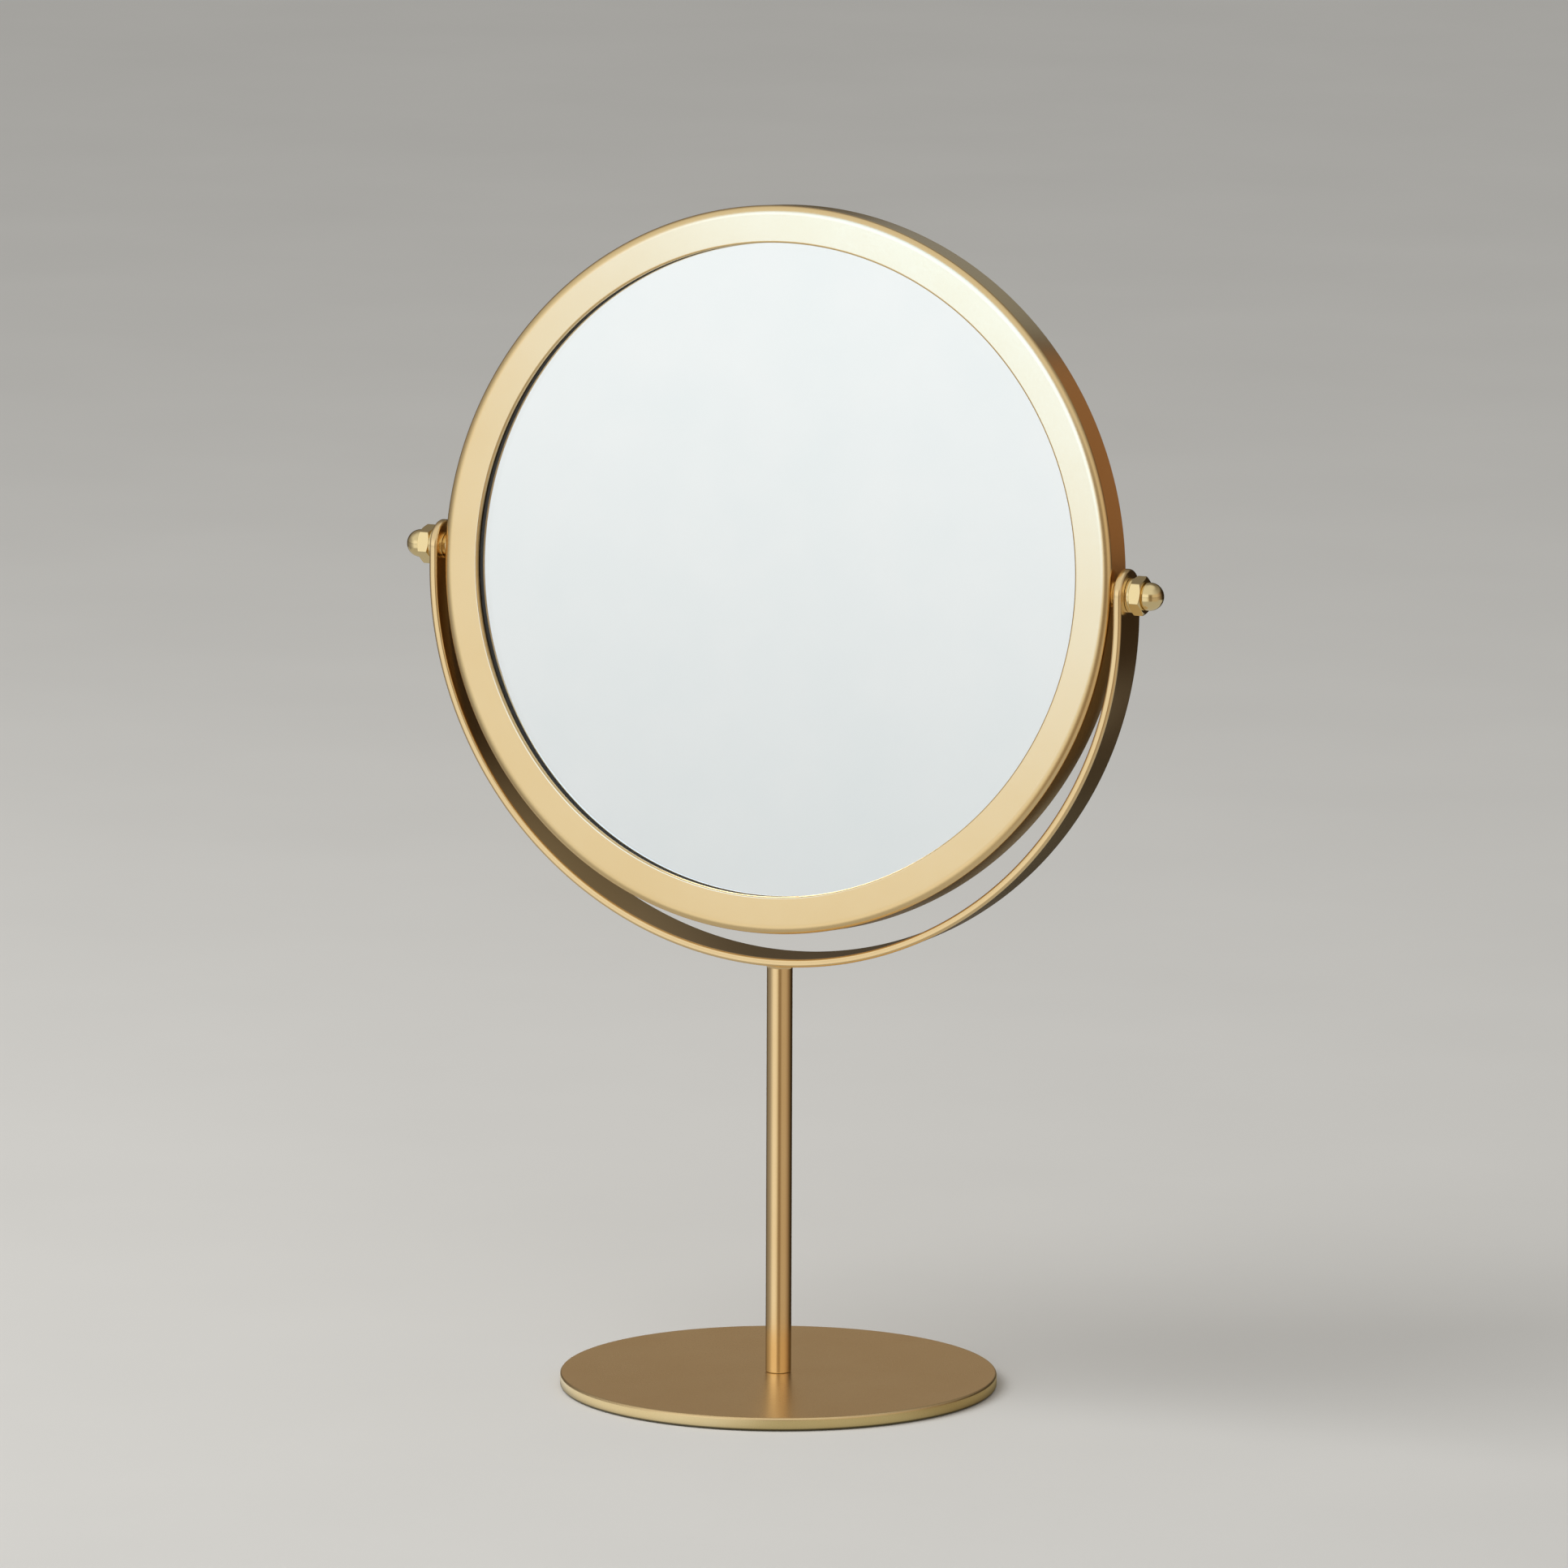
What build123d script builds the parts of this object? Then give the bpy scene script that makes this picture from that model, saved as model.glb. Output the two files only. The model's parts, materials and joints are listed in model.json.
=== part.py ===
from build123d import *
import os
from math import cos, hypot, radians, sin, sqrt

# Round swivel mirror for a table: a head that tilts between the ends of a bent strap yoke, on a
# post that stands on a round base. Millimetres, +Z up, the face looks towards -Y. The origin is
# the centre of the base, on the surface that it stands on.

# ---- Overall sizes ----
overall_height = 276.8      # base to the top of the head, leaning as it stands
base_diameter = 102.0
frame_diameter = 168.5      # outside of the front frame
frame_depth = 9.8           # its face to its rear edge
head_tilt = 6.0             # degrees that the face leans back at rest

# ---- Base ----
pad_thickness = 0.3
pad_inset = 2.0             # pad's edge inside the plate's edge
pad_hole_diameter = 14.0
plate_thickness = 2.9
plate_edge_radius = 0.6
plate_bottom_chamfer = 0.4
screw_diameter = 4.0
screw_length = 12.0
screw_head_diameter = 8.0
screw_head_sunk = 0.1       # head below the plate's underside
screw_socket = 2.5          # across the flats
screw_socket_depth = 1.2
screw_hole_clearance = 0.25
thread_clearance = 0.05     # a thread's crest to its tapped hole, all round

# ---- Post ----
post_diameter = 6.0
post_foot_chamfer = 0.3
post_thread_spare = 2.0     # tapped depth past the screw's end
braze_width = 0.6           # the fillet of braze stands out this far under the yoke
braze_height = 1.3
braze_gap = 0.05            # joint between the post's saddle and the strap

# ---- Yoke ----
strap_width = 12.0
strap_thickness = 2.0
strap_outer_edge_radius = 0.6   # the strip's rolled side faces out
strap_inner_edge_chamfer = 0.2
side_gap = 1.3              # front frame to strap at the pivots
bend_drop = 4.9             # centre of the bend below the pivots

# ---- Head ----
sheet_thickness = 1.2       # front frame's metal
face_border = 8.7           # outside of the frame to the edge of the visible glass
face_edge_chamfer = 0.25    # broken edge of the face round the glass
shoulder_radius = 3.0       # the face rolls over gently first
shoulder_angle = 32.0       # degrees
corner_radius = 1.3         # and then turns down into the side wall
rear_edge_chamfer = 0.3
glass_thickness = 2.0
glass_cover = 4.2           # the face laps over the glass by this much
layer_gap = 0.02            # between two layers that lie on each other
coating_thickness = 0.1
coating_inset = 0.3
foam_inset = 1.5
cover_thickness = 0.8
cover_recess = 0.3          # cover's face inside the frame's rear edge
cover_rim_depth = 2.2
cover_bevel = 0.5
cover_clearance = 0.1

# ---- Pivots ----
pivot_hole_clearance = 0.08     # stud in the strap, all round
stud_hole_clearance = 0.25      # stud in the frame, collar and washer, all round
end_clearance = 0.05            # strap to the collar and to the washer
stud_diameter = 4.0
stud_end_chamfer = 0.4
stud_slot_width = 0.8
stud_slot_depth = 1.0
boss_thickness = 2.4
boss_wall = 0.65                # metal beside the boss's thread
boss_length = 10.0
boss_edge_clearance = 0.2
weld_gap = 0.1
spacer_diameter = 6.0
washer_diameter = 8.0
washer_thickness = 1.0
nut_flats = 8.0
nut_turn = 22.0                 # degrees from the face's direction down to the front corner
nut_hex_height = 2.8
nut_chamfer_angle = 30.0
nut_dome_diameter = 6.5
nut_height = 7.0
nut_wall = 1.6                  # metal left at the crown over the blind thread
nut_thread_spare = 0.4          # thread left past the stud's end

edge_tolerance = 0.01           # for finding an edge by its place

# ---- Places worked out from the sizes ----
tilt = radians(head_tilt)
frame_radius = frame_diameter / 2
half_depth = frame_depth / 2
base_top = pad_thickness + plate_thickness
shoulder_rise = sin(radians(shoulder_angle))
shoulder_run = cos(radians(shoulder_angle))
shoulder_start = frame_radius - shoulder_radius * shoulder_rise - corner_radius * (1 - shoulder_rise)
wall_front = half_depth - shoulder_radius * (1 - shoulder_run) - corner_radius * shoulder_run
corner_top = (frame_radius - corner_radius) * cos(tilt) + wall_front * sin(tilt) + corner_radius
pivot_height = overall_height - corner_top
bend_height = pivot_height - bend_drop
strap_inner_radius = frame_radius + side_gap
strap_outer_radius = strap_inner_radius + strap_thickness
saddle_radius = strap_outer_radius + braze_gap
thread_radius = screw_diameter / 2 - thread_clearance
stud_radius = stud_diameter / 2 - thread_clearance

# The head's own frame: its centre is on the pivot line, and its axis leans back with the face.
pivot_point = Vector(0, 0, pivot_height)
face_normal = Vector(0, -cos(tilt), sin(tilt))
head_axis = Axis(pivot_point, face_normal)
head_front = Plane(origin=pivot_point, x_dir=(1, 0, 0), z_dir=face_normal)
head_section = Plane(origin=pivot_point, x_dir=(1, 0, 0), z_dir=Vector(1, 0, 0).cross(face_normal))

# Depths along the head's axis, from the middle of the frame, forwards positive.
face_back = half_depth - sheet_thickness
glass_front = face_back - layer_gap
glass_back = glass_front - glass_thickness
coating_front = glass_back - layer_gap
foam_front = coating_front - coating_thickness - layer_gap
cover_back = -half_depth + cover_recess
foam_back = cover_back + cover_thickness + layer_gap

# Radii across the head.
wall_inner_radius = frame_radius - sheet_thickness
opening_radius = frame_radius - face_border
glass_radius = opening_radius + glass_cover
cover_radius = wall_inner_radius - cover_clearance

# Distances along the pivot line, from the middle of the head.
boss_outer_radius = wall_inner_radius - weld_gap
boss_inner = boss_outer_radius - boss_thickness
boss_width = stud_diameter + 2 * boss_wall
spacer_end = frame_radius + side_gap - end_clearance
washer_start = strap_outer_radius + end_clearance
nut_start = washer_start + washer_thickness
nut_end = nut_start + nut_height
thread_end = nut_end - nut_wall
stud_end = thread_end - nut_thread_spare

parts = []


def finish(piece, label):
    """Names a piece and puts it on the list of pieces to write."""
    piece.part.label = label
    parts.append(piece.part)


def pivot_plane(side, distance):
    """A plane square to the pivot line, facing outwards, on one side of the head."""
    outwards = Vector(side, 0, 0)
    return Plane(origin=pivot_point + outwards * distance, x_dir=face_normal, z_dir=outwards)


# ---- Base plate: a turned disc, countersunk from below for the post's screw ----
with BuildPart() as base_plate:
    with BuildSketch(Plane.XY.offset(pad_thickness)):
        Circle(base_diameter / 2)
    extrude(amount=plate_thickness)
    fillet(base_plate.edges().group_by(Axis.Z)[-1], plate_edge_radius)
    chamfer(base_plate.edges().group_by(Axis.Z)[0], plate_bottom_chamfer)
    with Locations(Plane(origin=(0, 0, pad_thickness), z_dir=(0, 0, -1))):
        CounterSinkHole(
            radius=screw_diameter / 2 + screw_hole_clearance,
            counter_sink_radius=screw_head_diameter / 2 + screw_hole_clearance,
            counter_sink_angle=90,
        )
finish(base_plate, "base_plate")

# ---- Base pad: a thin non-slip ring under the plate ----
with BuildPart() as base_pad:
    with BuildSketch():
        Circle(base_diameter / 2 - pad_inset)
        Circle(pad_hole_diameter / 2, mode=Mode.SUBTRACT)
    extrude(amount=pad_thickness)
finish(base_pad, "base_pad")

# ---- Base screw: a countersunk socket screw, head down ----
screw_bottom = pad_thickness + screw_head_sunk
screw_top = screw_bottom + screw_length
cone_height = screw_head_diameter / 2 - thread_radius
with BuildPart() as base_screw:
    with BuildSketch(Plane.XZ):
        with BuildLine():
            Polyline(
                (0, screw_bottom),
                (screw_head_diameter / 2, screw_bottom),
                (thread_radius, screw_bottom + cone_height),
                (thread_radius, screw_top - stud_end_chamfer),
                (thread_radius - stud_end_chamfer, screw_top),
                (0, screw_top),
                close=True,
            )
        make_face()
    revolve(axis=Axis.Z)
    with BuildSketch(Plane.XY.offset(screw_bottom)):
        RegularPolygon(radius=screw_socket / 2, side_count=6, major_radius=False)
    extrude(amount=screw_socket_depth, mode=Mode.SUBTRACT)
finish(base_screw, "base_screw")

# ---- Post: a rod with a tapped foot, a braze flare and a saddle that fits round the strap ----
post_radius = post_diameter / 2
flare_radius = post_radius + braze_width
saddle_bottom = bend_height - saddle_radius
saddle_edge = bend_height - sqrt(saddle_radius**2 - flare_radius**2)
flare_start = saddle_bottom - braze_height
with BuildPart() as post:
    with BuildSketch(Plane.XZ):
        with BuildLine():
            Line((0, base_top), (post_radius - post_foot_chamfer, base_top))
            Line((post_radius - post_foot_chamfer, base_top), (post_radius, base_top + post_foot_chamfer))
            Line((post_radius, base_top + post_foot_chamfer), (post_radius, flare_start))
            TangentArc((post_radius, flare_start), (flare_radius, saddle_bottom), tangent=(0, 1))
            Line((flare_radius, saddle_bottom), (flare_radius, saddle_edge))
            Line((flare_radius, saddle_edge), (0, saddle_edge))
            Line((0, saddle_edge), (0, base_top))
        make_face()
    revolve(axis=Axis.Z)
    with BuildSketch(Plane.XZ):
        with Locations((0, bend_height)):
            Circle(saddle_radius)
    extrude(amount=2 * flare_radius, both=True, mode=Mode.SUBTRACT)
    with Locations(Plane(origin=(0, 0, base_top), z_dir=(0, 0, -1))):
        Hole(radius=screw_diameter / 2, depth=screw_top + post_thread_spare - base_top)
finish(post, "post")

# ---- Yoke: one strap bent into a U, with full-round tips and a pivot hole in each ----
tip_height = pivot_height + strap_width / 2


def distance_from_bend(edge):
    """How far out an edge lies, from the bend's axis or, above it, from the middle plane."""
    start = edge @ 0
    return hypot(start.X, min(start.Z - bend_height, 0))


def is_on_outside(edge):
    return abs(distance_from_bend(edge) - strap_outer_radius) < edge_tolerance


def is_on_inside(edge):
    return abs(distance_from_bend(edge) - strap_inner_radius) < edge_tolerance


with BuildPart() as yoke:
    with BuildSketch(Plane.XZ):
        with BuildLine():
            inner_bend = ThreePointArc(
                (strap_inner_radius, bend_height),
                (0, bend_height - strap_inner_radius),
                (-strap_inner_radius, bend_height),
            )
            outer_bend = ThreePointArc(
                (strap_outer_radius, bend_height),
                (0, bend_height - strap_outer_radius),
                (-strap_outer_radius, bend_height),
            )
            for side, end in ((1, 0), (-1, 1)):
                Polyline(
                    inner_bend @ end,
                    (side * strap_inner_radius, tip_height),
                    (side * strap_outer_radius, tip_height),
                    outer_bend @ end,
                )
        make_face()
    extrude(amount=strap_width / 2, both=True)
    with BuildSketch(Plane.YZ):
        with Locations((0, pivot_height)):
            Circle(strap_width / 2)
            Rectangle(
                strap_width, bend_drop + strap_outer_radius, align=(Align.CENTER, Align.MAX)
            )
    extrude(amount=strap_outer_radius, both=True, mode=Mode.INTERSECT)
    long_edges = yoke.edges().filter_by(Axis.X, reverse=True)
    fillet(long_edges.filter_by(is_on_outside), strap_outer_edge_radius)
    long_edges = yoke.edges().filter_by(Axis.X, reverse=True)
    chamfer(long_edges.filter_by(is_on_inside), strap_inner_edge_chamfer)
    with BuildSketch(Plane.YZ):
        with Locations((0, pivot_height)):
            Circle(stud_radius + pivot_hole_clearance)
    extrude(amount=strap_outer_radius, both=True, mode=Mode.SUBTRACT)
finish(yoke, "yoke")

# ---- Front frame: sheet pressed to an L, a flat face that rolls over into a side wall ----
with BuildPart() as front_frame:
    with BuildSketch(head_section):
        with BuildLine():
            shoulder = JernArc((shoulder_start, half_depth), (1, 0), shoulder_radius, -shoulder_angle)
            corner = JernArc(shoulder @ 1, shoulder % 1, corner_radius, shoulder_angle - 90)
            Polyline(
                corner @ 1,
                (frame_radius, -half_depth),
                (wall_inner_radius, -half_depth),
                (wall_inner_radius, wall_front),
                (shoulder_start, face_back),
                (opening_radius, face_back),
                (opening_radius, half_depth),
                (shoulder_start, half_depth),
            )
        make_face()
    revolve(axis=head_axis)
    front_edges = front_frame.edges().group_by(head_axis)[-1].sort_by(SortBy.RADIUS)
    chamfer(front_edges[0], face_edge_chamfer)
    chamfer(front_frame.edges().group_by(head_axis)[0], rear_edge_chamfer)
    with BuildSketch(pivot_plane(1, 0)):
        Circle(stud_radius + stud_hole_clearance)
    extrude(amount=frame_radius, both=True, mode=Mode.SUBTRACT)
finish(front_frame, "front_frame")


def disc(front, back, radius):
    """A round layer of the head between two depths."""
    with BuildPart() as layer:
        with BuildSketch(head_front.offset(back)):
            Circle(radius)
        extrude(amount=front - back)
    return layer


# ---- Glass, its silvered back, and the foam that presses them forward ----
mirror_glass = disc(glass_front, glass_back, glass_radius)
finish(mirror_glass, "mirror_glass")
silver_coating = disc(coating_front, coating_front - coating_thickness, glass_radius - coating_inset)
finish(silver_coating, "silver_coating")
foam_pad = disc(foam_front, foam_back, glass_radius - foam_inset)
finish(foam_pad, "foam_pad")

# ---- Back cover: a pressed lid, its rim pushed into the frame and notched over the bosses ----
with BuildPart() as back_cover:
    with BuildSketch(head_front.offset(cover_back)):
        Circle(cover_radius)
    extrude(amount=cover_rim_depth)
    with BuildSketch(head_front.offset(cover_back + cover_thickness)):
        Circle(cover_radius - cover_thickness)
    extrude(amount=cover_rim_depth - cover_thickness, mode=Mode.SUBTRACT)
    chamfer(back_cover.edges().group_by(head_axis)[0], cover_bevel)
    for side in (-1, 1):
        with BuildSketch(pivot_plane(side, boss_inner)):
            Rectangle(boss_width + 2 * boss_edge_clearance, boss_length + 2 * boss_edge_clearance)
        extrude(amount=cover_radius - boss_inner, mode=Mode.SUBTRACT)
finish(back_cover, "back_cover")

# ---- Pivots, the same on both sides: boss, stud, collar, washer and domed nut ----
nut_corner_radius = nut_flats / 2 / cos(radians(30))
nut_chamfer = (nut_corner_radius - nut_flats / 2) * sin(radians(nut_chamfer_angle)) / cos(
    radians(nut_chamfer_angle)
)
dome_radius = nut_dome_diameter / 2


def pivot_boss(side):
    """A tapped block, flat inside and curved outside to sit in the frame's wall."""
    with BuildPart() as boss:
        with BuildSketch(pivot_plane(side, boss_inner)):
            Rectangle(boss_width, boss_length)
        extrude(amount=boss_thickness)
        with BuildSketch(head_front):
            Circle(boss_outer_radius)
        extrude(amount=boss_width, both=True, mode=Mode.INTERSECT)
        with BuildSketch(pivot_plane(side, boss_inner)):
            Circle(stud_diameter / 2)
        extrude(amount=boss_thickness, mode=Mode.SUBTRACT)
    return boss


def pivot_stud(side):
    """A threaded stud, slotted at its inner end for a screwdriver."""
    with BuildPart() as stud:
        with BuildSketch(pivot_plane(side, boss_inner)):
            Circle(stud_radius)
        extrude(amount=stud_end - boss_inner)
        chamfer(stud.edges().group_by(Axis.X)[0 if side < 0 else -1], stud_end_chamfer)
        with BuildSketch(pivot_plane(side, boss_inner)):
            Rectangle(stud_slot_width, stud_diameter)
        extrude(amount=stud_slot_depth, mode=Mode.SUBTRACT)
    return stud


def collar(side, start, end, diameter):
    """A plain ring round the stud between two distances along the pivot line."""
    with BuildPart() as ring:
        with BuildSketch(pivot_plane(side, start)):
            Circle(diameter / 2)
            Circle(stud_radius + stud_hole_clearance, mode=Mode.SUBTRACT)
        extrude(amount=end - start)
    return ring


def acorn_nut(side):
    """A hexagon with turned corners, a dome over it, and a blind thread inside."""
    start_plane = pivot_plane(side, nut_start)
    nut_axis = Axis(start_plane.origin, start_plane.z_dir)
    section = Plane(origin=start_plane.origin, x_dir=face_normal, z_dir=face_normal.cross(start_plane.z_dir))
    hex_shoulder = nut_hex_height - nut_chamfer
    with BuildPart() as nut:
        with BuildSketch(start_plane):
            RegularPolygon(
                radius=nut_flats / 2, side_count=6, major_radius=False, rotation=side * nut_turn
            )
        extrude(amount=nut_hex_height)
        with BuildSketch(section):
            with BuildLine():
                Polyline(
                    (0, 0),
                    (nut_flats / 2, 0),
                    (nut_corner_radius, nut_chamfer),
                    (nut_corner_radius, hex_shoulder),
                    (nut_flats / 2, nut_hex_height),
                    (0, nut_hex_height),
                    close=True,
                )
            make_face()
        revolve(axis=nut_axis, mode=Mode.INTERSECT)
        with BuildSketch(section):
            with BuildLine():
                crown = CenterArc((0, nut_height - dome_radius), dome_radius, 0, 90)
                Polyline(crown @ 0, (dome_radius, 0), (0, 0), crown @ 1)
            make_face()
        revolve(axis=nut_axis)
        with BuildSketch(start_plane):
            Circle(stud_diameter / 2)
        extrude(amount=thread_end - nut_start, mode=Mode.SUBTRACT)
    return nut


for side, hand in ((-1, "left"), (1, "right")):
    finish(pivot_boss(side), f"pivot_boss_{hand}")
    finish(pivot_stud(side), f"pivot_stud_{hand}")
    finish(collar(side, frame_radius, spacer_end, spacer_diameter), f"pivot_spacer_{hand}")
    finish(collar(side, washer_start, nut_start, washer_diameter), f"pivot_washer_{hand}")
    finish(acorn_nut(side), f"acorn_nut_{hand}")

# ---- One STEP file for each piece ----
os.makedirs("parts", exist_ok=True)
for part in parts:
    export_step(part, f"parts/{part.label}.step")
    print(part.label, round(part.volume, 1), part.is_valid)
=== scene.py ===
import json
from math import cos, pi, radians, sin, sqrt, tan

import bmesh
import bpy
from mathutils import Matrix, Vector


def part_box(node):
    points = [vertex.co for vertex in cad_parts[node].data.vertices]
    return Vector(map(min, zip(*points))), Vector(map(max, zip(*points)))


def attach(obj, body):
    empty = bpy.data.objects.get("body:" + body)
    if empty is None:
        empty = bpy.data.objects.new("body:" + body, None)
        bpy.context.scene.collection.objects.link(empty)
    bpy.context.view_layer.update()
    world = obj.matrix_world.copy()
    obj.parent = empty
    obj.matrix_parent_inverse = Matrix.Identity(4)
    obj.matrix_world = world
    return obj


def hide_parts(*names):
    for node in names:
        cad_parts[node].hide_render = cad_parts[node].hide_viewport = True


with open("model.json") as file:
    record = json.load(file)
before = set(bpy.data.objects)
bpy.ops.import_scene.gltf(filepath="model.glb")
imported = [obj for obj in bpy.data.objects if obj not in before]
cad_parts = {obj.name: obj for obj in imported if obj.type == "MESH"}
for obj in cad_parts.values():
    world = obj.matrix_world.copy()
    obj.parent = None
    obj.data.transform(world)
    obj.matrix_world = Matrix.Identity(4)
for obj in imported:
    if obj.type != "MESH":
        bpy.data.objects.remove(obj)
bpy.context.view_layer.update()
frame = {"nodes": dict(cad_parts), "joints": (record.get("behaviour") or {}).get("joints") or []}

# A round swivel mirror in a flat gold frame. Metres, in the frame's own axes: +Z up, the face looks
# towards -Y and leans back at rest.

MM = 0.001

# ---- Places read from the frame ----
pivot = Vector(frame["joints"][0]["pos_m"])
plate_low, plate_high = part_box("base_plate")
post_low, post_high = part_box("post")
yoke_low, yoke_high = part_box("yoke")
frame_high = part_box("front_frame")[1]
nut_low, nut_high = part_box("acorn_nut_right")
washer_low, washer_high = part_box("pivot_washer_right")
spacer_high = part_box("pivot_spacer_right")[1]

# ---- Sizes ----
head_tilt = radians(6)

half_depth = 4.9 * MM               # of the front frame, face to middle
sheet_thickness = 1.2 * MM
face_border = 8.7 * MM              # outside of the frame to the visible glass
face_lip_radius = 0.5 * MM          # rounded edge of the face round the glass
shoulder_radius = 3.0 * MM          # the face rolls over gently first
shoulder_angle = radians(32)
corner_radius = 1.3 * MM            # and then turns down into the side wall
rear_edge = 0.3 * MM

layer_gap = 0.02 * MM
glass_thickness = 2.0 * MM
glass_edge = 0.2 * MM

cover_recess = 0.3 * MM
cover_thickness = 0.8 * MM
cover_rim_depth = 2.2 * MM
cover_bevel = 0.5 * MM
notch_depth = 4.0 * MM              # the cover's rim is notched over each pivot boss
notch_width = 5.7 * MM
notch_height = 10.4 * MM
notch_gap = 0.3 * MM                # from the boss

stud_radius = 1.95 * MM
hole_clearance = 0.25 * MM
thread_radius = 2.0 * MM            # bore of a tapped hole
small_edge = 0.12 * MM              # broken edge on small turned parts
nut_flats = 8.0 * MM
nut_turn = radians(16)              # its front corner points this far below level
nut_hex_height = 2.8 * MM
nut_chamfer_angle = radians(30)
nut_chamfer_lap = 0.05 * MM         # the chamfer's cone starts outside the corners and ends
                                    # inside the flats by this
nut_bore_depth = 5.4 * MM
dome_radius = 3.25 * MM
dome_foot = ((0.0, 0.36), (0.05, 0.27), (0.15, 0.20))   # mm in from its side, mm above the hexagon
neck_radius = 2.85 * MM
neck_height = 0.17 * MM
neck_sink = 0.2 * MM                # into the hexagon

strap_thickness = 2.0 * MM
strap_edge_radius = 0.8 * MM
strap_inner_edge = 0.6 * MM
strap_hole_radius = 2.03 * MM

post_radius = 3.0 * MM
post_foot_edge = 0.3 * MM
post_bore_depth = 11.6 * MM
braze_height = 1.3 * MM
braze_steps = 8
saddle_gap = 0.05 * MM
saddle_length = 20 * MM

plate_edge_radius = 0.6 * MM
plate_bottom_edge = 0.4 * MM
screw_clearance_radius = 2.25 * MM
screw_head_clearance_radius = 4.25 * MM

fine_sides = 360                    # of the large round pieces
small_sides = 96                    # of the small turned ones
overrun = 1 * MM                    # a cutter passes the face that it cuts by this
through = 1.1                       # and one that goes right across the object by this share
tiny = 0.002 * MM

wall_front = (half_depth - shoulder_radius * (1 - cos(shoulder_angle))
              - corner_radius * cos(shoulder_angle))
frame_radius = corner_radius + (
    frame_high.z - pivot.z - corner_radius - wall_front * sin(head_tilt)) / cos(head_tilt)
shoulder_start = (frame_radius - shoulder_radius * sin(shoulder_angle)
                  - corner_radius * (1 - sin(shoulder_angle)))
wall_inner_radius = frame_radius - sheet_thickness
face_back = half_depth - sheet_thickness
opening_radius = frame_radius - face_border
glass_front = face_back - layer_gap
cover_back = -half_depth + cover_recess
clear_hole_radius = stud_radius + hole_clearance
plate_radius = min(plate_high.x, -plate_low.x, plate_high.y, -plate_low.y)
strap_outer = yoke_high.x
strap_inner = strap_outer - strap_thickness
strap_half_width = yoke_high.y
bend_height = yoke_low.z + strap_outer
flare_radius = post_high.x
flare_start = yoke_low.z - braze_height

# Where a head piece modelled flat, facing up, goes, and where a pivot piece modelled on the
# vertical goes on each side.
head_place = Matrix.Translation(pivot) @ Matrix.Rotation(pi / 2 - head_tilt, 4, "X")
pivot_places = {
    hand: (Matrix.Translation(pivot) @ Matrix.Rotation(side * pi / 2, 4, "Y")
           @ Matrix.Rotation(side * nut_turn, 4, "Z"))
    for hand, side in (("right", 1), ("left", -1))
}


# ---- Modelling steps ----
def deselect():
    bpy.ops.object.select_all(action="DESELECT")


def pick_up(piece):
    """Selects that piece alone and makes it the active one."""
    deselect()
    piece.select_set(True)
    bpy.context.view_layer.objects.active = piece


def name_new(name):
    """Names the primitive that was just added and puts its place into its mesh."""
    piece = bpy.context.object
    piece.name = piece.data.name = name
    bpy.ops.object.transform_apply(location=True, rotation=True, scale=True)
    return piece


def cylinder(name, radius, bottom, top, sides):
    """A blank or a cutter on the vertical, from one height to another."""
    deselect()
    bpy.ops.mesh.primitive_cylinder_add(
        vertices=sides, radius=radius, depth=top - bottom, end_fill_type="NGON",
        location=(0, 0, (bottom + top) / 2))
    return name_new(name)


def edit(piece):
    pick_up(piece)
    bpy.ops.object.mode_set(mode="EDIT")


def leave():
    bpy.ops.object.mode_set(mode="OBJECT")


def choose(kind, wanted):
    """In edit mode, selects the faces, edges or points that the test says yes to."""
    bpy.ops.mesh.select_mode(type=kind)
    bpy.ops.mesh.select_all(action="DESELECT")
    mesh = bmesh.from_edit_mesh(bpy.context.object.data)
    items = {"FACE": mesh.faces, "EDGE": mesh.edges, "VERT": mesh.verts}[kind]
    for item in items:
        item.select_set(bool(wanted(item)))
    mesh.select_flush_mode()
    bmesh.update_edit_mesh(bpy.context.object.data)


def radius_of(point):
    """How far a mesh point lies from the vertical axis."""
    return sqrt(point.co.x**2 + point.co.y**2)


def at(value, target):
    """Whether two lengths are the same."""
    return abs(value - target) < tiny


def rim(radius, height):
    """A test for the edges of the circle of that radius at that height."""
    def wanted(edge):
        return all(at(radius_of(p), radius) and at(p.co.z, height) for p in edge.verts)
    return wanted


def round_edges(wanted, size, steps):
    """In edit mode, rounds the edges that the test says yes to."""
    choose("EDGE", wanted)
    bpy.ops.mesh.bevel(offset=size, segments=steps, affect="EDGES")


def end_face(height, up):
    """A test for the flat end face at that height."""
    def wanted(face):
        facing = face.normal.z if up else -face.normal.z
        return at(face.calc_center_median().z, height) and facing > 0.9
    return wanted


def bore(bottom, top, wall):
    """In edit mode, opens a round blank right through, leaving that much wall."""
    choose("FACE", lambda face: end_face(top, True)(face) or end_face(bottom, False)(face))
    bpy.ops.mesh.inset(thickness=wall, use_individual=True)
    bpy.ops.mesh.bridge_edge_loops()


def draw_out(radius, height, places, extrude=bpy.ops.mesh.extrude_region_move):
    """In edit mode, draws the chosen round end from its radius and height to each next place."""
    for next_radius, next_height in places:
        extrude(TRANSFORM_OT_translate={"value": (0, 0, next_height - height)})
        share = next_radius / radius
        bpy.ops.transform.resize(value=(share, share, 1), center_override=(0, 0, next_height))
        radius, height = next_radius, next_height


def modify(piece, kind, **settings):
    """Adds one modifier with those settings and applies it."""
    pick_up(piece)
    bpy.ops.object.modifier_add(type=kind)
    modifier = piece.modifiers[-1]
    for setting, value in settings.items():
        setattr(modifier, setting, value)
    bpy.ops.object.modifier_apply(modifier=modifier.name)


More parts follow.
